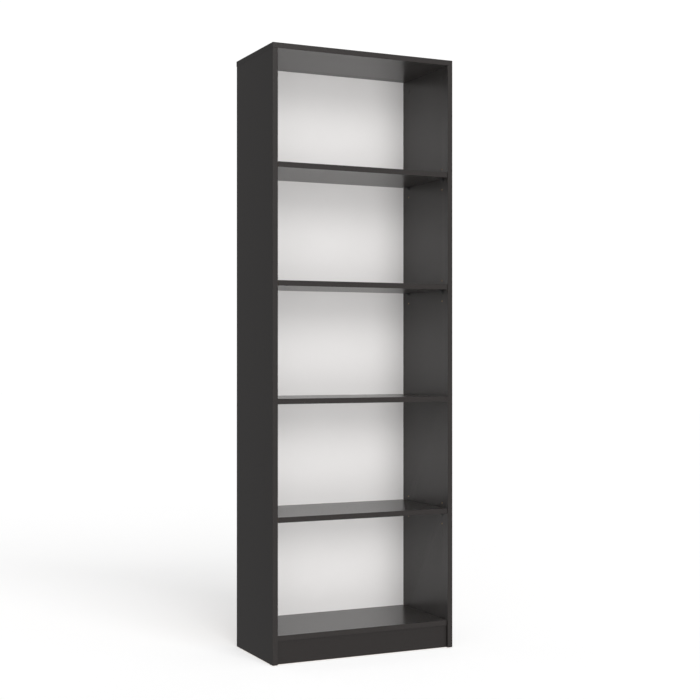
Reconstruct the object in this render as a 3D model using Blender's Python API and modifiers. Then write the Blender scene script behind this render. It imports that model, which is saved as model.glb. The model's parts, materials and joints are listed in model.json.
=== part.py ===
"""Tall bookcase with five compartments, in metres, +Z up.

The carcass is 16 mm melamine-faced chipboard: two sides under a full-width top, a bottom panel on
a set-back plinth, and one fixed shelf, all held by eccentric fittings and dowels. Three more
shelves lie loose on push-in supports, and a thin white back is fixed behind it all.
The origin is on the floor at the middle of the footprint. The front faces -Y, the left side is -X.
"""

import math

import bmesh
import bpy
from mathutils import Matrix, Vector

# Outer size of the bookcase
WIDTH = 0.600
DEPTH = 0.300
HEIGHT = 1.820

# Boards
BOARD = 0.016
BACK_BOARD = 0.0025
TOUCH_GAP = 0.0003
SIDE_END_Y = DEPTH / 2 - BACK_BOARD - TOUCH_GAP
BACK_INSET_X = 0.003
UNDER_BOTTOM_Z = 0.070
COMPARTMENTS = 5
BOTTOM_SETBACK = 0.006
PLINTH_SETBACK = 0.010
FIXED_SHELF_SETBACK = 0.001
LOOSE_SHELF_SETBACK = 0.001
LOOSE_SHELF_SIDE_GAP = 0.0015
LOOSE_SHELF_BACK_GAP = 0.0008

# Places that follow from the boards
FRONT_Y = -DEPTH / 2
INNER_X = WIDTH / 2 - BOARD
JOINT_X = INNER_X - TOUCH_GAP
SIDE_MIDDLE_X = WIDTH / 2 - BOARD / 2
UNDER_TOP_Z = HEIGHT - BOARD
CLEAR_HEIGHT = (UNDER_TOP_Z - UNDER_BOTTOM_Z - COMPARTMENTS * BOARD) / COMPARTMENTS

# Fittings stand in two rows, at the standard distance from the front and rear edges
ROW_INSET = 0.037
HOLE_PITCH = 0.032
CAM_REACH = 0.034
CAM_RADIUS = 0.0071
CAM_HOLE_RADIUS = 0.0075
CAM_HOLE_DEPTH = 0.0125
BOLT_RADIUS = 0.0025
BOLT_HOLE_RADIUS = 0.0029
BOLT_HOLE_DEPTH = 0.0106
SHANK_HOLE_RADIUS = 0.004

# Shelf supports
SUPPORT_RADIUS = 0.0023
SUPPORT_HOLE_RADIUS = 0.0027
SUPPORT_HOLE_DEPTH = 0.010
SUPPORT_TONGUE = 0.0100
SUPPORT_WIDTH = 0.0090
SUPPORT_DROP = 0.0085

# Dowels between the plinth and the sides
DOWEL_RADIUS = 0.004
DOWEL_HOLE_RADIUS = 0.0044
DOWEL_LENGTH = 0.030
DOWEL_IN_SIDE = 0.0115
DOWEL_IN_PLINTH = 0.0195
DOWEL_HEIGHTS = {"low": 0.022, "high": 0.052}
PLINTH_MIDDLE_Y = FRONT_Y + PLINTH_SETBACK + BOARD / 2

# Glides under the sides
GLIDE_HEIGHT = 0.002
GLIDE_RADIUS = 0.007
GLIDE_INSET = 0.025
NAIL_RADIUS = 0.0009
NAIL_HOLE_RADIUS = 0.0013
NAIL_TOP = 0.015
NAIL_HOLE_DEPTH = NAIL_TOP - GLIDE_HEIGHT + 0.0005

SIDES = {"left": -1, "right": 1}
ROWS = {"front": FRONT_Y + ROW_INSET, "rear": SIDE_END_Y - ROW_INSET}
GLIDE_ROWS = {"front": FRONT_Y + GLIDE_INSET, "rear": SIDE_END_Y - GLIDE_INSET}

# Shelves are counted from the floor; the second one is fixed and braces the tall sides
FIXED_SHELF = 2
LOOSE_SHELVES = {"lower": 1, "middle": 3, "upper": 4}


def shelf_under_z(number):
    """Height of a shelf's underside; number 0 is the bottom panel."""
    return UNDER_BOTTOM_Z + number * (CLEAR_HEIGHT + BOARD)


def support_z(number):
    """Height of the support pins' axes under a loose shelf."""
    return shelf_under_z(number) - TOUCH_GAP - SUPPORT_RADIUS


def clear_scene():
    for obj in list(bpy.data.objects):
        bpy.data.objects.remove(obj)


def new_collection(name):
    collection = bpy.data.collections.new(name)
    bpy.context.scene.collection.children.link(collection)
    return collection


def new_material(name, colour, roughness, metallic=0.0):
    material = bpy.data.materials.new(name)
    material.use_nodes = True
    shader = material.node_tree.nodes["Principled BSDF"]
    shader.inputs["Base Color"].default_value = (*colour, 1.0)
    shader.inputs["Roughness"].default_value = roughness
    shader.inputs["Metallic"].default_value = metallic
    material.diffuse_color = (*colour, 1.0)
    return material


def new_piece(name, mesh, material, matrix):
    """A named sub-part: its mesh, material and place."""
    piece = bpy.data.objects.new(name, mesh)
    if not mesh.materials:
        mesh.materials.append(material)
    piece.matrix_world = matrix
    PARTS.objects.link(piece)
    return piece


def frame_at(place, x_axis, z_axis):
    """A placement whose local X and Z point along the given axes."""
    x_axis, z_axis = Vector(x_axis), Vector(z_axis)
    turn = Matrix((x_axis, z_axis.cross(x_axis), z_axis)).transposed().to_4x4()
    return Matrix.Translation(place) @ turn


def box_mesh(name, low, high):
    """A box between two corners, about its own middle."""
    size = Vector(high) - Vector(low)
    mesh = bpy.data.meshes.new(name)
    shape = bmesh.new()
    bmesh.ops.create_cube(shape, size=1.0, matrix=Matrix.Diagonal((*size, 1.0)))
    shape.to_mesh(mesh)
    shape.free()
    return mesh


def board(name, low, high, material):
    middle = (Vector(low) + Vector(high)) / 2
    return new_piece(name, box_mesh(name, low, high), material, Matrix.Translation(middle))


def make_cutter(name, mesh, matrix=None):
    cutter = bpy.data.objects.new(name, mesh)
    cutter.matrix_world = matrix or Matrix()
    cutter.hide_render = True
    cutter.display_type = "WIRE"
    CUTTERS.objects.link(cutter)
    return cutter


def combine(piece, other, operation):
    modifier = piece.modifiers.new(other.name, "BOOLEAN")
    modifier.object = other
    modifier.operation = operation
    return modifier


def drill(piece, name, holes, segments):
    """Cuts round blind holes: each is a mouth, a direction, a radius and a depth."""
    overshoot = 0.001
    mesh = bpy.data.meshes.new(name)
    shape = bmesh.new()
    for mouth, direction, radius, depth in holes:
        direction = Vector(direction)
        length = depth + overshoot
        middle = Vector(mouth) + direction * (depth - overshoot) / 2
        turn = Vector((0, 0, 1)).rotation_difference(direction).to_matrix().to_4x4()
        bmesh.ops.create_cone(
            shape, cap_ends=True, segments=segments, radius1=radius, radius2=radius,
            depth=length, matrix=Matrix.Translation(middle) @ turn,
        )
    shape.to_mesh(mesh)
    shape.free()
    combine(piece, make_cutter(name, mesh), "DIFFERENCE")


def finished_mesh(obj):
    """The mesh of an object after its modifiers, for sharing between copies. The object goes."""
    bpy.context.view_layer.update()
    graph = bpy.context.evaluated_depsgraph_get()
    mesh = bpy.data.meshes.new_from_object(obj.evaluated_get(graph))
    mesh.name = obj.name
    bpy.data.objects.remove(obj)
    return mesh


def turned_mesh(name, profile, steps):
    """A solid of revolution about Z from (radius, height) points, listed from the top down."""
    mesh = bpy.data.meshes.new(name)
    edges = [(i, i + 1) for i in range(len(profile) - 1)]
    mesh.from_pydata([(radius, 0, z) for radius, z in profile], edges, [])
    lathe = bpy.data.objects.new(name, mesh)
    CUTTERS.objects.link(lathe)
    screw = lathe.modifiers.new("turn", "SCREW")
    screw.steps = steps
    screw.render_steps = steps
    screw.use_merge_vertices = True
    screw.merge_threshold = 0.00001
    screw.use_smooth_shade = True
    turned = finished_mesh(lathe)
    turned.set_sharp_from_angle(angle=math.radians(30))
    return turned


def outline_mesh(name, points, thickness):
    """A flat outline in the XZ plane, extruded evenly to both sides along Y."""
    curve = bpy.data.curves.new(name, "CURVE")
    curve.dimensions = "2D"
    curve.fill_mode = "BOTH"
    curve.extrude = thickness / 2
    spline = curve.splines.new("POLY")
    spline.points.add(len(points) - 1)
    for point, (x, z) in zip(spline.points, points):
        point.co = (x, z, 0, 1)
    spline.use_cyclic_u = True
    flat = bpy.data.objects.new(name, curve)
    CUTTERS.objects.link(flat)
    mesh = finished_mesh(flat)
    shape = bmesh.new()
    shape.from_mesh(mesh)
    bmesh.ops.remove_doubles(shape, verts=shape.verts, dist=0.00001)
    bmesh.ops.rotate(shape, verts=shape.verts, matrix=Matrix.Rotation(math.pi / 2, 3, "X"))
    shape.to_mesh(mesh)
    shape.free()
    return mesh


def cylinder_mesh(name, radius, low_z, high_z, segments):
    mesh = bpy.data.meshes.new(name)
    shape = bmesh.new()
    bmesh.ops.create_cone(
        shape, cap_ends=True, segments=segments, radius1=radius, radius2=radius,
        depth=high_z - low_z, matrix=Matrix.Translation((0, 0, (low_z + high_z) / 2)),
    )
    shape.to_mesh(mesh)
    shape.free()
    return mesh


def cam_mesh():
    """The eccentric housing. Its face is at -Z, and its slot takes the bolt's head from +X."""
    body = bpy.data.objects.new("cam", cylinder_mesh("cam", CAM_RADIUS, TOUCH_GAP, 0.0121, 28))
    CUTTERS.objects.link(body)
    half_cross, half_blade, recess_top = 0.0028, 0.0006, 0.0027
    boxes = {
        "cross_along": ((-half_cross, -half_blade, -0.001), (half_cross, half_blade, recess_top)),
        "cross_over": ((-half_blade, -half_cross, -0.001), (half_blade, half_cross, recess_top)),
        "neck_slot": ((0.0020, -0.0021, 0.0059), (0.0090, 0.0021, 0.0130)),
        "head_pocket": ((-0.0010, -0.0036, 0.0044), (0.0034, 0.0036, 0.0130)),
    }
    tools = [make_cutter("cap_socket", cylinder_mesh("cap_socket", 0.0019, -0.001, 0.0026, 16))]
    for name, (low, high) in boxes.items():
        middle = Matrix.Translation((Vector(low) + Vector(high)) / 2)
        tools.append(make_cutter(name, box_mesh(name, low, high), middle))
    for tool in tools:
        combine(body, tool, "DIFFERENCE")
    mesh = finished_mesh(body)
    for tool in tools:
        bpy.data.objects.remove(tool)
    return mesh


def bolt_mesh():
    """The connecting bolt: thread up from the joint at z = 0, then collar, shank, neck and head."""
    profile = [
        (0.0, 0.0100), (0.0015, 0.0100), (BOLT_RADIUS, 0.0085), (BOLT_RADIUS, -TOUCH_GAP),
        (0.0035, -TOUCH_GAP), (0.0035, -0.0015), (0.0028, -0.0025), (0.0028, -0.0262),
        (0.0017, -0.0270), (0.0017, -0.0310), (0.0032, -0.0312), (0.0032, -0.0335), (0.0, -0.0335),
    ]
    return turned_mesh("bolt", profile, 14)


def support_mesh():
    """A shelf support: a pin along +X into the side, and a ribbed angle under the shelf."""
    pin_end = 0.0095
    top, plate = SUPPORT_RADIUS, 0.0015
    wall_x, tip_x = -TOUCH_GAP, -TOUCH_GAP - SUPPORT_TONGUE
    angle = [
        (wall_x, top), (tip_x + 0.0006, top), (tip_x, top - 0.0006), (tip_x, top - plate),
        (wall_x - plate, top - plate), (wall_x - plate, -SUPPORT_DROP), (wall_x, -SUPPORT_DROP),
    ]
    rib = [
        (wall_x - 0.0005, top - 0.0005), (tip_x + 0.0015, top - 0.0005),
        (wall_x - 0.0005, 0.0012 - SUPPORT_DROP),
    ]
    body = bpy.data.objects.new("support", outline_mesh("support", angle, SUPPORT_WIDTH))
    CUTTERS.objects.link(body)
    tools = [make_cutter("rib", outline_mesh("rib", rib, 0.0016))]
    pin = cylinder_mesh("pin", SUPPORT_RADIUS, wall_x - 0.0005, pin_end, 16)
    tools.append(make_cutter("pin", pin, frame_at((0, 0, 0), (0, 0, -1), (1, 0, 0))))
    for tool in tools:
        combine(body, tool, "UNION")
    mesh = finished_mesh(body)
    for tool in tools:
        bpy.data.objects.remove(tool)
    return mesh


def dowel_mesh():
    half, chamfer = DOWEL_LENGTH / 2, 0.001
    profile = [
        (0.0, half), (DOWEL_RADIUS - chamfer, half), (DOWEL_RADIUS, half - chamfer),
        (DOWEL_RADIUS, chamfer - half), (DOWEL_RADIUS - chamfer, -half), (0.0, -half),
    ]
    return turned_mesh("dowel", profile, 18)


def glide_mesh():
    """A plastic glide moulded round a nail that stands up into the side."""
    top = GLIDE_HEIGHT - TOUCH_GAP
    profile = [
        (0.0, NAIL_TOP), (NAIL_RADIUS, NAIL_TOP - 0.0015), (NAIL_RADIUS, top),
        (GLIDE_RADIUS - 0.0004, top), (GLIDE_RADIUS, top - 0.0004), (GLIDE_RADIUS, 0.0010),
        (GLIDE_RADIUS - 0.0012, 0.0), (0.0, 0.0),
    ]
    return turned_mesh("glide", profile, 24)


def cap_mesh():
    """A push-in cover cap: the disc at -Z, its stem along +Z into the cam's socket."""
    profile = [
        (0.0, 0.0022), (0.0015, 0.0022), (0.0015, -TOUCH_GAP), (0.0083, -TOUCH_GAP),
        (0.0085, -0.0006), (0.0078, -0.0011), (0.0, -0.0011),
    ]
    return turned_mesh("cap", profile, 32)


def make_side(side, sign, material):
    """A side panel, with every hole that its fittings, dowels, supports and glides need."""
    low = (min(sign * WIDTH / 2, sign * INNER_X), FRONT_Y, GLIDE_HEIGHT)
    high = (low[0] + BOARD, SIDE_END_Y, UNDER_TOP_Z - TOUCH_GAP)
    panel = board(f"{side}_side_panel", low, high, material)
    inwards, face_x, middle_x = (sign, 0, 0), sign * INNER_X, sign * SIDE_MIDDLE_X
    pin_holes = [
        ((face_x, y, support_z(number) + step * HOLE_PITCH), inwards,
         SUPPORT_HOLE_RADIUS, SUPPORT_HOLE_DEPTH)
        for number in LOOSE_SHELVES.values() for y in ROWS.values() for step in (-1, 0, 1)
    ]
    bolt_holes = [
        ((face_x, y, shelf_under_z(number) + BOARD / 2), inwards, BOLT_HOLE_RADIUS, BOLT_HOLE_DEPTH)
        for number in (0, FIXED_SHELF) for y in ROWS.values()
    ]
    dowel_holes = [
        ((face_x, PLINTH_MIDDLE_Y, z), inwards, DOWEL_HOLE_RADIUS, DOWEL_IN_SIDE)
        for z in DOWEL_HEIGHTS.values()
    ]
    shank_holes = [
        ((middle_x, y, UNDER_TOP_Z), (0, 0, -1), SHANK_HOLE_RADIUS, CAM_REACH)
        for y in ROWS.values()
    ]
    nail_holes = [
        ((middle_x, y, GLIDE_HEIGHT), (0, 0, 1), NAIL_HOLE_RADIUS, NAIL_HOLE_DEPTH)
        for y in GLIDE_ROWS.values()
    ]
    cam_holes = [
        ((face_x, y, UNDER_TOP_Z - CAM_REACH), inwards, CAM_HOLE_RADIUS, CAM_HOLE_DEPTH)
        for y in ROWS.values()
    ]
    drill(panel, f"{side}_side_holes", pin_holes + bolt_holes + dowel_holes, 16)
    drill(panel, f"{side}_side_edge_holes", shank_holes + nail_holes, 16)
    drill(panel, f"{side}_side_cam_holes", cam_holes, 28)


def make_top(material):
    low = (-WIDTH / 2, FRONT_Y, UNDER_TOP_Z)
    top = board("top_panel", low, (WIDTH / 2, DEPTH / 2, HEIGHT), material)
    holes = [
        ((sign * SIDE_MIDDLE_X, y, UNDER_TOP_Z), (0, 0, 1), BOLT_HOLE_RADIUS, BOLT_HOLE_DEPTH)
        for sign in SIDES.values() for y in ROWS.values()
    ]
    drill(top, "top_holes", holes, 16)


def make_fixed_board(name, number, setback, material):
    """A board bolted between the sides: the bottom panel or the fixed shelf."""
    under = shelf_under_z(number)
    low = (-JOINT_X, FRONT_Y + setback, under)
    panel = board(name, low, (JOINT_X, SIDE_END_Y, under + BOARD), material)
    ends, cams = [], []
    for sign in SIDES.values():
        for y in ROWS.values():
            ends.append(((sign * JOINT_X, y, under + BOARD / 2), (-sign, 0, 0),
                         SHANK_HOLE_RADIUS, CAM_REACH))
            cams.append(((sign * (INNER_X - CAM_REACH), y, under), (0, 0, 1),
                         CAM_HOLE_RADIUS, CAM_HOLE_DEPTH))
    drill(panel, f"{name}_end_holes", ends, 16)
    drill(panel, f"{name}_cam_holes", cams, 28)


def make_plinth(material):
    low = (-JOINT_X, FRONT_Y + PLINTH_SETBACK, GLIDE_HEIGHT)
    high = (JOINT_X, low[1] + BOARD, UNDER_BOTTOM_Z - TOUCH_GAP)
    plinth = board("plinth_board", low, high, material)
    holes = [
        ((sign * JOINT_X, PLINTH_MIDDLE_Y, z), (-sign, 0, 0), DOWEL_HOLE_RADIUS, DOWEL_IN_PLINTH)
        for sign in SIDES.values() for z in DOWEL_HEIGHTS.values()
    ]
    drill(plinth, "plinth_holes", holes, 18)


def make_back(material):
    edge_x = WIDTH / 2 - BACK_INSET_X
    low = (-edge_x, DEPTH / 2 - BACK_BOARD, UNDER_BOTTOM_Z + 0.001)
    board("back_panel", low, (edge_x, DEPTH / 2, UNDER_TOP_Z - TOUCH_GAP), material)


def make_loose_shelves(material):
    half = INNER_X - LOOSE_SHELF_SIDE_GAP
    for place, number in LOOSE_SHELVES.items():
        under = shelf_under_z(number)
        low = (-half, FRONT_Y + LOOSE_SHELF_SETBACK, under)
        high = (half, SIDE_END_Y - LOOSE_SHELF_BACK_GAP, under + BOARD)
        board(f"{place}_adjustable_shelf", low, high, material)


def make_supports(material):
    mesh = support_mesh()
    for place, number in LOOSE_SHELVES.items():
        for side, sign in SIDES.items():
            for row, y in ROWS.items():
                spot = frame_at((sign * INNER_X, y, support_z(number)), (sign, 0, 0), (0, 0, 1))
                new_piece(f"{place}_shelf_support_{side}_{row}", mesh, material, spot)


def make_fittings(cam_material, bolt_material, cap_material):
    """Cams and bolts of the bottom, fixed shelf and top, with caps on the top's visible cams."""
    cam, bolt, cap = cam_mesh(), bolt_mesh(), cap_mesh()
    for side, sign in SIDES.items():
        for row, y in ROWS.items():
            for name, number in (("bottom", 0), ("fixed_shelf", FIXED_SHELF)):
                under = shelf_under_z(number)
                cam_spot = ((INNER_X - CAM_REACH) * sign, y, under)
                bolt_spot = (sign * INNER_X, y, under + BOARD / 2)
                new_piece(f"{name}_cam_{side}_{row}", cam, cam_material,
                          frame_at(cam_spot, (sign, 0, 0), (0, 0, 1)))
                new_piece(f"{name}_bolt_{side}_{row}", bolt, bolt_material,
                          frame_at(bolt_spot, (0, 0, 1), (sign, 0, 0)))
            cam_frame = frame_at((sign * INNER_X, y, UNDER_TOP_Z - CAM_REACH), (0, 0, 1),
                                 (sign, 0, 0))
            new_piece(f"top_cam_{side}_{row}", cam, cam_material, cam_frame)
            new_piece(f"cover_cap_{side}_{row}", cap, cap_material, cam_frame)
            new_piece(f"top_bolt_{side}_{row}", bolt, bolt_material,
                      Matrix.Translation((sign * SIDE_MIDDLE_X, y, UNDER_TOP_Z)))


def make_dowels(material):
    """Each dowel stops 0.5 mm short of the bottom of both its holes."""
    mesh = dowel_mesh()
    middle_x = INNER_X + DOWEL_IN_SIDE - 0.0005 - DOWEL_LENGTH / 2
    for side, sign in SIDES.items():
        for level, z in DOWEL_HEIGHTS.items():
            spot = frame_at((sign * middle_x, PLINTH_MIDDLE_Y, z), (0, 0, 1), (sign, 0, 0))
            new_piece(f"plinth_dowel_{side}_{level}", mesh, material, spot)


def make_glides(material):
    mesh = glide_mesh()
    for side, sign in SIDES.items():
        for row, y in GLIDE_ROWS.items():
            spot = Matrix.Translation((sign * SIDE_MIDDLE_X, y, 0))
            new_piece(f"floor_glide_{side}_{row}", mesh, material, spot)


clear_scene()
PARTS = new_collection("bookcase")
CUTTERS = new_collection("cutters")

anthracite = new_material("anthracite_melamine", (0.029, 0.027, 0.027), 0.28)
white = new_material("white_hardboard", (0.78, 0.77, 0.76), 0.45)
zinc = new_material("die_cast_zinc", (0.55, 0.55, 0.56), 0.35, 1.0)
steel = new_material("plated_steel", (0.62, 0.60, 0.56), 0.30, 1.0)
dark_plastic = new_material("dark_plastic", (0.030, 0.030, 0.031), 0.45)
beech = new_material("beech_wood", (0.60, 0.43, 0.27), 0.65)

for side_name, side_sign in SIDES.items():
    make_side(side_name, side_sign, anthracite)
make_top(anthracite)
make_fixed_board("bottom_panel", 0, BOTTOM_SETBACK, anthracite)
make_fixed_board("fixed_shelf", FIXED_SHELF, FIXED_SHELF_SETBACK, anthracite)
make_plinth(anthracite)
make_back(white)
make_loose_shelves(anthracite)
make_supports(dark_plastic)
make_fittings(zinc, steel, dark_plastic)
make_dowels(beech)
make_glides(dark_plastic)
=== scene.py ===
"""The looks of the bookcase: its boards with their edge bands, the back and its nails, supports,
caps and fittings, and their materials, on a pale floor in soft studio light. Metres, +Z up."""

import json
import math

import bmesh
import bpy
from mathutils import Matrix, Vector


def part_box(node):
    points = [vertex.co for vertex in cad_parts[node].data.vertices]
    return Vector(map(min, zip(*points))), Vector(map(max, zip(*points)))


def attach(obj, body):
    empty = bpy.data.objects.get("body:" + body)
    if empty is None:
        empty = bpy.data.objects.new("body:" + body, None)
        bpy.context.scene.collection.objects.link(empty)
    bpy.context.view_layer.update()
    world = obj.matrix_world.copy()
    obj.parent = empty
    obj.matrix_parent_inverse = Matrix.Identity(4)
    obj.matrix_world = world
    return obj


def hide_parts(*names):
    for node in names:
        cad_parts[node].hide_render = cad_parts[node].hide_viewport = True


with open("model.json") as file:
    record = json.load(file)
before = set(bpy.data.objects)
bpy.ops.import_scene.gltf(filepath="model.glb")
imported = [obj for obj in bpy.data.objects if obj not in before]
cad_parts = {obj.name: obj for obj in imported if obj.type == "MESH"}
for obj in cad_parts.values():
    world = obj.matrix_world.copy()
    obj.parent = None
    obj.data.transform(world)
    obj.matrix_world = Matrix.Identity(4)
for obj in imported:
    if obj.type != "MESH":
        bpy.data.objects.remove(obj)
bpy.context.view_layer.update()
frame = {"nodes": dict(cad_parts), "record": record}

SIDES = {"left": -1, "right": 1}
ROWS = ("front", "rear")
LOOSE_SHELVES = ("lower", "middle", "upper")

# Boards: plastic edge bands are glued to the cut edges that show, the other cut edges are bare
BAND = 0.0008
GLUE_LINE = 0.00005
BAND_NAMES = {(1, -1): "front", (0, -1): "left_end", (0, 1): "right_end"}

# Radii of the rounded edges
BAND_ROUND = 0.00035
FACE_ROUND = 0.00015
BACK_ROUND = 0.0002
SUPPORT_ROUND = 0.00025
GLIDE_ROUND = 0.0002

# Points closer than this lie on the same plane, and points ten times closer are one point.
# A face looks along an axis when its normal's share of it is above FACING. Faces that meet within
# the first angle are one flat face, within the second they are shaded smooth, and beyond the third
# their edge is rounded.
SAME_PLACE = 0.00002
SAME_POINT = SAME_PLACE / 10
FACING = 0.9
FLAT_ANGLE = math.radians(0.5)
SMOOTH_ANGLE = math.radians(40)
SHARP_ANGLE = math.radians(50)

# Nails of the back. The insets are from the back's own edges, and the head's points are shares of
# its radius and its height.
NAIL_HEAD_RADIUS = 0.002
NAIL_HEAD_HEIGHT = 0.0004
NAIL_SIDES = 16
NAIL_HEAD_DOME = ((0.0, 1.0), (0.6, 0.95), (0.92, 0.7), (1.0, 0.35), (1.0, 0.0))
NAIL_NECK_LENGTH = 0.0003
NAIL_SHANK_RADIUS = 0.0007
NAIL_LENGTH = 0.020
NAIL_POINT_LENGTH = 0.002
NAIL_EDGE_INSET = 0.005
NAIL_END_INSET = 0.03
NAIL_PITCH = 0.135
SHELF_NAIL_END_INSET = 0.10
SHELF_NAIL_PITCH = 0.14

# Cover caps: the dome's points, as a share of the radius and a drop below the middle
CAP_DOME = ((0.0, 0.0), (0.5, 0.00005), (0.8, 0.0002), (0.95, 0.00045), (1.0, 0.0007))
CAP_SIDES = 48
CAP_THICKNESS = 0.0008
CAP_STEM_RADIUS = 0.0015
CAP_STEM_TIP_RADIUS = 0.0012
CAP_STEM_TIP_LENGTH = 0.0004

# Camera: level, with its place and heading in the bookcase's own axes, its frame and lens in mm
CAMERA_PLACE = (-1.8028, -3.8430, 0.9049)
CAMERA_HEADING = math.radians(25.374)
CAMERA_FRAME_WIDTH = 36.0
CAMERA_LENS = 70.29
CAMERA_SHIFT_Y = 0.0084

# Studio
AMBIENT = 0.225
BACKDROP_GLOW = 1.05
FLOOR_GLOW = 0.52
FLOOR_SIZE = 60.0

# The boards' colour, roughness and gloss, with how much darker the bands are, and the plinth's
# painted shade: the same melamine darkened for the weaker light low down
ANTHRACITE = (0.0302, 0.0270, 0.0259)
BOARD_ROUGHNESS = 0.28
BOARD_ROUGHNESS_SPREAD = 0.01
BOARD_IOR = 1.4
BAND_TINT = 0.9
PLINTH_PAINTED_SHADE = 0.74

# A noise texture's values lie mostly between these
NOISE_LOW = 0.3
NOISE_HIGH = 0.7


# ---------------------------------------------------------------- materials


class Look:
    """A material's node tree, with a short way to add and join nodes."""

    def __init__(self, name, colour, roughness, metallic=0.0):
        self.material = bpy.data.materials.new(name)
        self.material.use_nodes = True
        self.tree = self.material.node_tree
        self.shader = self.tree.nodes["Principled BSDF"]
        self.set(self.shader, {"Base Color": (*colour, 1.0), "Roughness": roughness,
                               "Metallic": metallic})
        self.place = self.add("ShaderNodeTexCoord").outputs["Object"]

    def set(self, node, inputs):
        for socket, value in inputs.items():
            if isinstance(value, bpy.types.NodeSocket):
                self.tree.links.new(value, node.inputs[socket])
            else:
                node.inputs[socket].default_value = value

    def add(self, kind, inputs=None, **settings):
        node = self.tree.nodes.new(kind)
        for name, value in settings.items():
            setattr(node, name, value)
        self.set(node, inputs or {})
        return node

    def stretched(self, scale):
        """The object's coordinates, scaled along each axis: below 1 draws a texture out."""
        return self.add("ShaderNodeMapping", {"Vector": self.place, "Scale": scale}).outputs[0]

    def noise(self, scale, detail=3.0, roughness=0.5, where=None):
        return self.add("ShaderNodeTexNoise", {"Vector": where or self.place, "Scale": scale,
                                               "Detail": detail, "Roughness": roughness}).outputs[0]

    def ranged(self, value, low, high):
        """A noise texture's value, spread over a new range."""
        return self.add("ShaderNodeMapRange", {"Value": value, "From Min": NOISE_LOW,
                                               "From Max": NOISE_HIGH, "To Min": low,
                                               "To Max": high}).outputs[0]

    def ramp(self, value, stops):
        """Colours at positions along a texture's value."""
        node = self.add("ShaderNodeValToRGB", {"Fac": value})
        ramp = node.color_ramp
        while len(ramp.elements) < len(stops):
            ramp.elements.new(1.0)
        for element, (position, colour) in zip(ramp.elements, stops):
            element.position = position
            element.color = (*colour, 1.0)
        return node.outputs[0]

    def between(self, value, dark, light):
        """Colours from dark to light along a noise texture's value."""
        return self.ramp(value, [(NOISE_LOW, dark), (NOISE_HIGH, light)])

    def bump(self, height, depth, strength=1.0, under=None):
        inputs = {"Height": height, "Distance": depth, "Strength": strength}
        if under:
            inputs["Normal"] = under
        return self.add("ShaderNodeBump", inputs).outputs[0]

    def finish(self, **inputs):
        self.set(self.shader, {name.replace("_", " "): value for name, value in inputs.items()})
        return self.material


def tinted(colour, factor):
    return tuple(channel * factor for channel in colour)


def board_sheen(look, grain):
    """The boards' roughness, varied a little along a noise texture's value."""
    return look.ranged(grain, BOARD_ROUGHNESS - BOARD_ROUGHNESS_SPREAD,
                       BOARD_ROUGHNESS + BOARD_ROUGHNESS_SPREAD)


def melamine_look(name, tint):
    """Satin melamine: a fine pearl texture, with a fine grain in its colour and sheen."""
    base = tinted(ANTHRACITE, tint)
    look = Look(name, base, BOARD_ROUGHNESS)
    grain = look.noise(700.0, detail=2.0)
    colour = look.between(grain, tinted(base, 0.93), tinted(base, 1.07))
    pearl = look.bump(look.noise(1400.0, detail=1.0), 0.00001, 0.3)
    return look.finish(Base_Color=colour, Roughness=board_sheen(look, grain), Normal=pearl,
                       IOR=BOARD_IOR)


def band_look():
    """The plastic edge band: a shade darker than the boards, and a little smoother."""
    base = tinted(ANTHRACITE, BAND_TINT)
    look = Look("anthracite_edge_band", base, BOARD_ROUGHNESS)
    grain = look.noise(700.0, detail=2.0)
    colour = look.between(grain, tinted(base, 0.95), tinted(base, 1.05))
    skin = look.bump(look.noise(900.0, detail=1.0), 0.00001, 0.25)
    return look.finish(Base_Color=colour, Roughness=board_sheen(look, grain), Normal=skin,
                       IOR=BOARD_IOR)


def chipboard_look():
    """Bare cut chipboard: pressed chips from straw to brown, with open pores."""
    look = Look("bare_chipboard", (0.42, 0.29, 0.17), 0.85)
    chips = look.add("ShaderNodeTexVoronoi", {"Vector": look.place, "Scale": 420.0,
                                              "Randomness": 1.0}).outputs["Color"]
    shade = look.add("ShaderNodeSeparateColor", {"Color": chips}).outputs[0]
    fine = look.noise(1500.0, detail=4.0)
    colour = look.ramp(shade, [(0.0, (0.20, 0.12, 0.06)), (0.35, (0.37, 0.25, 0.14)),
                               (0.75, (0.50, 0.36, 0.21)), (1.0, (0.62, 0.48, 0.31))])
    rough = look.bump(fine, 0.0003, 0.6, under=look.bump(shade, 0.0002, 0.5))
    return look.finish(Base_Color=colour, Normal=rough)


def white_back_look():
    """The lacquered front of the hardboard, with the faint ripple of its print roller."""
    white = (0.885, 0.868, 0.858)
    look = Look("white_lacquered_hardboard", white, 0.5)
    clouds = look.noise(5.0, detail=3.0)
    colour = look.between(clouds, tinted(white, 0.985), tinted(white, 1.01))
    ripple = look.noise(420.0, detail=2.0, where=look.stretched((1.0, 1.0, 0.35)))
    return look.finish(Base_Color=colour, Roughness=look.ranged(clouds, 0.46, 0.54),
                       Normal=look.bump(ripple, 0.00003, 0.4))


def brown_back_look():
    """The bare rear of the hardboard: brown felted fibres with dark flecks."""
    brown = (0.315, 0.198, 0.112)
    look = Look("brown_hardboard", brown, 0.7)
    fibres = look.noise(700.0, detail=6.0, roughness=0.7, where=look.stretched((1.0, 1.0, 0.4)))
    clouds = look.noise(3.0, detail=2.0)
    base = look.ramp(clouds, [(0.1, tinted(brown, 0.94)), (0.9, tinted(brown, 1.06))])
    flecks = look.ramp(fibres, [(0.32, (0.66, 0.62, 0.58)), (0.5, (1.0, 1.0, 1.0)),
                                (0.72, (1.2, 1.18, 1.14))])
    mixed = look.add("ShaderNodeMix", {"Factor": 1.0}, data_type="RGBA", blend_type="MULTIPLY")
    colour_a, colour_b = (socket for socket in mixed.inputs
                          if socket.enabled and socket.type == "RGBA")
    look.tree.links.new(base, colour_a)
    look.tree.links.new(flecks, colour_b)
    return look.finish(Base_Color=mixed.outputs[2], Normal=look.bump(fibres, 0.00008, 0.6))


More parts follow.
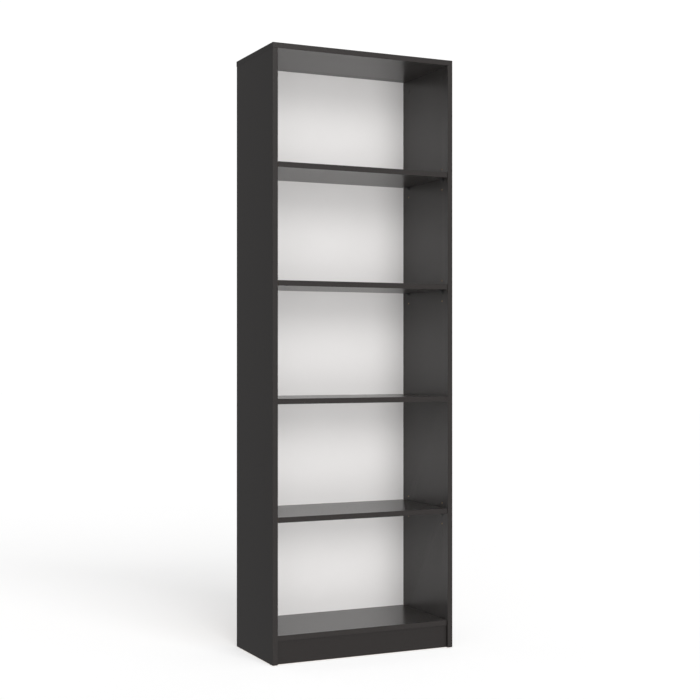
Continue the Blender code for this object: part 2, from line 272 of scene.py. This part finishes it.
def plastic_look(name, colour, roughness):
    """Moulded plastic with a fine spark-eroded grain."""
    look = Look(name, colour, roughness)
    grain = look.bump(look.noise(2600.0, detail=2.0), 0.00002, 0.5)
    sheen = look.ranged(look.noise(150.0), roughness - 0.04, roughness + 0.04)
    return look.finish(Roughness=sheen, Normal=grain)


def zinc_look():
    """Die-cast zinc: dull grey, with cloudy flow marks."""
    look = Look("die_cast_zinc", (0.46, 0.46, 0.47), 0.42, 1.0)
    flow = look.noise(260.0, detail=5.0)
    colour = look.between(flow, (0.38, 0.38, 0.39), (0.52, 0.52, 0.53))
    return look.finish(Base_Color=colour, Roughness=look.ranged(flow, 0.34, 0.52),
                       Normal=look.bump(flow, 0.00004, 0.5))


def steel_look():
    """Zinc-plated steel: brighter than the zinc castings, and slightly stained."""
    look = Look("plated_steel", (0.62, 0.60, 0.56), 0.3, 1.0)
    stain = look.noise(420.0, detail=4.0)
    colour = look.between(stain, (0.52, 0.50, 0.47), (0.66, 0.64, 0.60))
    return look.finish(Base_Color=colour, Roughness=look.ranged(stain, 0.24, 0.38))


def beech_look():
    """Turned beech, with its grain along the dowel."""
    look = Look("beech_dowel", (0.60, 0.43, 0.27), 0.6)
    grain = look.noise(900.0, detail=4.0, where=look.stretched((0.08, 1.0, 1.0)))
    colour = look.between(grain, (0.47, 0.31, 0.18), (0.66, 0.49, 0.32))
    return look.finish(Base_Color=colour, Normal=look.bump(grain, 0.00005, 0.6))


def floor_look():
    """A pale floor with a glow of its own, as a light table has."""
    look = Look("pale_floor", (0.86, 0.86, 0.86), 0.7)
    mist = look.between(look.noise(0.8, detail=2.0), (0.855,) * 3, (0.865,) * 3)
    return look.finish(Base_Color=mist, Specular_IOR_Level=0.0, Emission_Strength=FLOOR_GLOW,
                       Emission_Color=(1.0, 1.0, 1.0, 1.0))


# ---------------------------------------------------------------- shapes


def cad_shape(node):
    """A CAD node's solid as clean faces: shared points joined, flat neighbours merged."""
    shape = bmesh.new()
    shape.from_mesh(frame["nodes"][node].data)
    bmesh.ops.remove_doubles(shape, verts=shape.verts, dist=SAME_POINT)
    bmesh.ops.dissolve_limit(shape, angle_limit=FLAT_ANGLE, verts=shape.verts,
                             edges=shape.edges, delimit={"NORMAL"})
    return shape


def on_plane(edge, axis, value):
    return all(abs(vert.co[axis] - value) < SAME_PLACE for vert in edge.verts)


def outer_edges(shape, low, high):
    """The edges along which two sides of the box meet."""
    planes = [(axis, corner[axis]) for axis in range(3) for corner in (low, high)]
    return [edge for edge in shape.edges
            if sum(on_plane(edge, axis, value) for axis, value in planes) >= 2]


def round_edges(shape, edges, radius, segments=3):
    bmesh.ops.bevel(shape, geom=edges, offset=radius, offset_type="OFFSET", segments=segments,
                    profile=0.5, affect="EDGES", clamp_overlap=True)


def piece_from(shape, name, looks):
    """A finished mesh object from a shape, smooth over its rounded edges."""
    mesh = bpy.data.meshes.new(name)
    shape.to_mesh(mesh)
    shape.free()
    for look in looks:
        mesh.materials.append(look)
    mesh.shade_smooth()
    mesh.set_sharp_from_angle(angle=SMOOTH_ANGLE)
    piece = bpy.data.objects.new(name, mesh)
    bpy.context.scene.collection.objects.link(piece)
    weighted = piece.modifiers.new("flat faces stay flat", "WEIGHTED_NORMAL")
    weighted.keep_sharp = True
    weighted.weight = 100
    return piece


def block(name, low, high, radius, looks):
    """A box between two corners, with rounded edges."""
    low, high = Vector(low), Vector(high)
    spot = Matrix.Translation((low + high) / 2) @ Matrix.Diagonal((*(high - low), 1.0))
    shape = bmesh.new()
    bmesh.ops.create_cube(shape, size=1.0, matrix=spot)
    round_edges(shape, shape.edges[:], radius)
    return piece_from(shape, name, looks)


def turned(name, profile, place, direction, look, sides):
    """A solid of revolution from (radius, height) points, top first, standing along direction."""
    shape = bmesh.new()
    points = [shape.verts.new((radius, 0.0, height)) for radius, height in profile]
    edges = [shape.edges.new(pair) for pair in zip(points, points[1:])]
    bmesh.ops.spin(shape, geom=points + edges, cent=(0, 0, 0), axis=(0, 0, 1),
                   angle=math.tau, steps=sides, use_merge=True)
    bmesh.ops.remove_doubles(shape, verts=shape.verts, dist=SAME_POINT)
    bmesh.ops.recalc_face_normals(shape, faces=shape.faces)
    turn = Vector((0, 0, 1)).rotation_difference(Vector(direction)).to_matrix().to_4x4()
    bmesh.ops.transform(shape, matrix=Matrix.Translation(place) @ turn, verts=shape.verts)
    return piece_from(shape, name, [look])


def settle(piece, body, slot, *nodes):
    """Puts a piece on its body and hides the CAD nodes it stands for. The slot is not used."""
    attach(piece, body)
    if nodes:
        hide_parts(*nodes)
    return piece


# ---------------------------------------------------------------- boards


def board(node, body, thin_axis, banded, face_look="melamine"):
    """A board and its edge bands. banded lists the cut edges that carry one, as (axis, sign).
    The board's two faces are finished, and its cut edges and holes are bare."""
    low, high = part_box(node)
    shape = cad_shape(node)
    for axis, sign in banded:
        edge = (high if sign > 0 else low)[axis]
        for vert in shape.verts:
            if abs(vert.co[axis] - edge) < SAME_PLACE:
                vert.co[axis] -= sign * (BAND + GLUE_LINE)
    core_low = Vector(min(v.co[i] for v in shape.verts) for i in range(3))
    core_high = Vector(max(v.co[i] for v in shape.verts) for i in range(3))
    for face in shape.faces:
        level = face.calc_center_median()[thin_axis]
        at_surface = any(abs(level - corner[thin_axis]) < SAME_PLACE
                         for corner in (core_low, core_high))
        faces_out = abs(face.normal[thin_axis]) > FACING
        face.material_index = 0 if faces_out and at_surface else 1
    round_edges(shape, outer_edges(shape, core_low, core_high), FACE_ROUND, segments=2)
    core = piece_from(shape, f"{node}_core", [LOOKS[face_look], LOOKS["chipboard"]])
    settle(core, body, "board_anthracite", node)
    for number, (axis, sign) in enumerate(banded):
        band_low, band_high = Vector(low), Vector(high)
        for earlier_axis, earlier_sign in banded[:number]:
            end = band_high if earlier_sign > 0 else band_low
            end[earlier_axis] -= earlier_sign * (BAND + GLUE_LINE)
        if sign > 0:
            band_low[axis] = high[axis] - BAND
        else:
            band_high[axis] = low[axis] + BAND
        place = BAND_NAMES[axis, sign]
        band = block(f"{node}_{place}_band", band_low, band_high, BAND_ROUND, [LOOKS["band"]])
        settle(band, body, "board_anthracite")


def make_boards():
    front, ends = (1, -1), ((0, -1), (0, 1))
    for side in SIDES:
        board(f"{side}_side_panel", "carcass", 0, [front])
    board("top_panel", "carcass", 2, [front, *ends])
    board("bottom_panel", "carcass", 2, [front])
    board("fixed_shelf", "carcass", 2, [front])
    # The plinth wears the boards' melamine darkened, a painted shade for the weaker light near the
    # floor
    board("plinth_board", "carcass", 1, [], "painted_shade_plinth")
    for place in LOOSE_SHELVES:
        board(f"{place}_adjustable_shelf", f"{place}_adjustable_shelf", 2, [front])


def make_back():
    """The hardboard sheet: lacquered towards the room, bare behind and on its edges."""
    low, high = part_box("back_panel")
    shape = cad_shape("back_panel")
    for face in shape.faces:
        face.material_index = 0 if face.normal.y < -FACING else 1
    round_edges(shape, outer_edges(shape, low, high), BACK_ROUND, segments=1)
    sheet = piece_from(shape, "back_sheet", [LOOKS["white_back"], LOOKS["brown_back"]])
    settle(sheet, "carcass", "back_white", "back_panel")


def spread(start, end, pitch):
    """Evenly spaced places from start to end, about a pitch apart."""
    count = max(2, round((end - start) / pitch) + 1)
    return [start + (end - start) * i / (count - 1) for i in range(count)]


def make_nails():
    """Flat-headed nails through the back into the sides, the bottom panel and the fixed shelf."""
    low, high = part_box("back_panel")
    places = {}
    column = spread(low.z + NAIL_END_INSET, high.z - NAIL_END_INSET, NAIL_PITCH)
    for side, sign in SIDES.items():
        x = sign * (high.x - NAIL_EDGE_INSET)
        places[side] = [(x, z) for z in column]
    row = spread(low.x + SHELF_NAIL_END_INSET, high.x - SHELF_NAIL_END_INSET, SHELF_NAIL_PITCH)
    for node in ("bottom_panel", "fixed_shelf"):
        board_low, board_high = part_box(node)
        z = (board_low.z + board_high.z) / 2
        places[node] = [(x, z) for x in row]
    head = [(NAIL_HEAD_RADIUS * across, NAIL_HEAD_HEIGHT * up) for across, up in NAIL_HEAD_DOME]
    profile = [*head, (NAIL_SHANK_RADIUS, -NAIL_NECK_LENGTH),
               (NAIL_SHANK_RADIUS, -NAIL_LENGTH + NAIL_POINT_LENGTH), (0.0, -NAIL_LENGTH)]
    for group, spots in places.items():
        for number, (x, z) in enumerate(spots, 1):
            nail = turned(f"back_nail_{group}_{number}", profile, (x, high.y, z), (0, 1, 0),
                          LOOKS["steel"], NAIL_SIDES)
            settle(nail, "carcass", "steel")


# ---------------------------------------------------------------- fittings


def softened(node, name, body, slot, look, radius):
    """A CAD node's own shape with its sharp edges rounded."""
    shape = cad_shape(node)
    sharp = [edge for edge in shape.edges
             if len(edge.link_faces) == 2 and edge.calc_face_angle() > SHARP_ANGLE]
    round_edges(shape, sharp, radius, segments=2)
    settle(piece_from(shape, name, [look]), body, slot, node)


def make_supports():
    for place in LOOSE_SHELVES:
        for side in SIDES:
            for row in ROWS:
                node = f"{place}_shelf_support_{side}_{row}"
                softened(node, f"{node}_moulding", node, "support_plastic",
                         LOOKS["support_plastic"], SUPPORT_ROUND)


def make_caps():
    """Slightly domed cover caps over the cams that hold the top."""
    for side, sign in SIDES.items():
        for row in ROWS:
            node = f"cover_cap_{side}_{row}"
            low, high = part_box(node)
            middle = (low + high) / 2
            radius = (high.z - low.z) / 2
            stem = high.x - low.x
            face_x = low.x if sign > 0 else high.x
            dome = [(radius * share, -drop) for share, drop in CAP_DOME]
            profile = [*dome, (radius, -CAP_THICKNESS), (CAP_STEM_RADIUS, -CAP_THICKNESS),
                       (CAP_STEM_RADIUS, CAP_STEM_TIP_LENGTH - stem),
                       (CAP_STEM_TIP_RADIUS, -stem), (0.0, -stem)]
            cap = turned(f"{node}_disc", profile, (face_x, middle.y, middle.z), (-sign, 0, 0),
                         LOOKS["cap_plastic"], CAP_SIDES)
            settle(cap, "carcass", "cap_plastic", node)


def make_glides():
    for side in SIDES:
        for row in ROWS:
            node = f"floor_glide_{side}_{row}"
            softened(node, f"{node}_foot", "carcass", "glide_plastic", LOOKS["glide_plastic"],
                     GLIDE_ROUND)


def paint_fittings():
    """The cams, bolts and dowels keep their CAD shapes and take finished materials."""
    slot_looks = {"zinc": LOOKS["zinc"], "steel": LOOKS["steel"], "dowel_wood": LOOKS["beech"]}
    slots = {part["node"]: part["material_slot"] for part in frame["record"]["subparts"]}
    for node, obj in frame["nodes"].items():
        if slots[node] in slot_looks:
            obj.data.materials.clear()
            obj.data.materials.append(slot_looks[slots[node]])


# ---------------------------------------------------------------- studio


def make_floor():
    """The floor takes the shadows, and leaves no reflection or bounce of its own on the boards."""
    bpy.ops.mesh.primitive_grid_add(x_subdivisions=8, y_subdivisions=8, size=FLOOR_SIZE)
    floor = bpy.context.object
    floor.name = "studio_floor"
    floor.data.materials.append(LOOKS["floor"])
    floor.visible_diffuse = False
    floor.visible_glossy = False
    floor.visible_shadow = False
    return floor


def make_camera():
    data = bpy.data.cameras.new("camera")
    data.sensor_width = CAMERA_FRAME_WIDTH
    data.lens = CAMERA_LENS
    data.shift_y = CAMERA_SHIFT_Y
    camera = bpy.data.objects.new("camera", data)
    camera.location = CAMERA_PLACE
    camera.rotation_euler = (math.pi / 2, 0.0, -CAMERA_HEADING)
    bpy.context.scene.collection.objects.link(camera)
    bpy.context.scene.camera = camera


def soft_sun(name, azimuth, height, spread_angle, strength, mirrored=True):
    """A wide, soft and even light. Azimuth 0 is in front, +90 on the right; angles in degrees.
    A light that isn't mirrored leaves no reflection of itself on the boards."""
    data = bpy.data.lights.new(name, "SUN")
    data.energy = strength
    data.angle = math.radians(spread_angle)
    light = bpy.data.objects.new(name, data)
    turn, lift = math.radians(azimuth), math.radians(height)
    towards = Vector((math.sin(turn) * math.cos(lift), -math.cos(turn) * math.cos(lift),
                      math.sin(lift)))
    light.rotation_euler = towards.to_track_quat("Z", "Y").to_euler()
    light.visible_glossy = mirrored
    bpy.context.scene.collection.objects.link(light)
    return light


def keep_off(light, obj):
    """Light linking: the light reaches everything but this object."""
    unlit = bpy.data.collections.new(f"not_lit_by_{light.name}")
    unlit.objects.link(obj)
    unlit.collection_objects[0].light_linking.link_state = "EXCLUDE"
    light.light_linking.receiver_collection = unlit


def make_lights(floor):
    """Soft light from the front, with its bounce from the floor, and weaker light from the sides.
    The rear light would throw the object's shadow forwards, so it is kept off the floor."""
    soft_sun("front", 0, 30, 40, 1.8)
    soft_sun("front_bounce", 0, -24, 42, 1.4, mirrored=False)
    soft_sun("left_front", -35, 5, 60, 0.78)
    soft_sun("right_front", 35, 5, 60, 0.5, mirrored=False)
    right_rear = soft_sun("right_rear", 125, 18, 60, 1.5)
    keep_off(right_rear, floor)


def make_backdrop():
    """Pure white for the camera, and a dim even light for everything else."""
    world = bpy.data.worlds.new("studio")
    world.use_nodes = True
    tree = world.node_tree
    seen = tree.nodes["Background"]
    seen.inputs["Color"].default_value = (1.0, 1.0, 1.0, 1.0)
    seen.inputs["Strength"].default_value = BACKDROP_GLOW
    ambient = tree.nodes.new("ShaderNodeBackground")
    ambient.inputs["Color"].default_value = (1.0, 1.0, 1.0, 1.0)
    ambient.inputs["Strength"].default_value = AMBIENT
    rays = tree.nodes.new("ShaderNodeLightPath")
    choice = tree.nodes.new("ShaderNodeMixShader")
    tree.links.new(rays.outputs["Is Camera Ray"], choice.inputs[0])
    tree.links.new(ambient.outputs[0], choice.inputs[1])
    tree.links.new(seen.outputs[0], choice.inputs[2])
    tree.links.new(choice.outputs[0], tree.nodes["World Output"].inputs["Surface"])
    bpy.context.scene.world = world


LOOKS = {
    "melamine": melamine_look("anthracite_melamine", 1.0),
    # The same melamine, darker: painted shade on the plinth, which gets less light low down
    "painted_shade_plinth": melamine_look("anthracite_plinth_painted_shade", PLINTH_PAINTED_SHADE),
    "band": band_look(),
    "chipboard": chipboard_look(),
    "white_back": white_back_look(),
    "brown_back": brown_back_look(),
    "support_plastic": plastic_look("support_plastic", (0.032, 0.032, 0.033), 0.42),
    "cap_plastic": plastic_look("cap_plastic", ANTHRACITE, 0.46),
    "glide_plastic": plastic_look("glide_plastic", (0.030, 0.030, 0.031), 0.5),
    "zinc": zinc_look(),
    "steel": steel_look(),
    "beech": beech_look(),
    "floor": floor_look(),
}

make_boards()
make_back()
make_nails()
make_supports()
make_caps()
make_glides()
paint_fittings()
make_camera()
make_lights(make_floor())
make_backdrop()
bpy.context.scene.view_settings.view_transform = "Standard"
